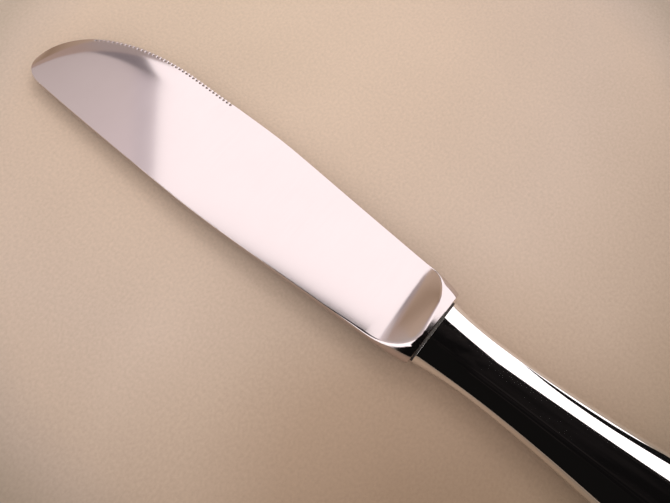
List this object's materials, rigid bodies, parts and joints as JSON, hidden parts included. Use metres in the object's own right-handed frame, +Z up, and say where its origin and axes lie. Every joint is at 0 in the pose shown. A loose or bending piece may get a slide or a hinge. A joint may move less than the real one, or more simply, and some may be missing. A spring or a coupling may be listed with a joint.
{
  "type": "table knife",
  "caption": "Table knife with a round-nosed, finely serrated steel blade, a scooped bolster and a hollow silver handle; for cutting and spreading food on a plate.",
  "frame": {"origin": "on the table, below the middle of the knife's bounding box, with the knife lying on one flank", "axes": "+X along the knife towards the tip of the blade, +Y towards the spine of the blade, +Z up from the table"},
  "size_m": [0.2122, 0.023, 0.0118],
  "materials": {
    "blade_steel": "forged stainless steel, satin flanks, polished bolster",
    "silver": "mirror-polished silver with hairlines from use",
    "solder": "silver solder, filed flush and polished",
    "cement": "dark resin and chalk cement, matt"
  },
  "bodies": {
    "root": {"blade": "blade_steel", "handle_shell_upper": "silver", "handle_shell_lower": "silver", "solder_seam": "solder", "mouth_plate": "silver", "handle_cement": "cement"}
  },
  "joints": []
}
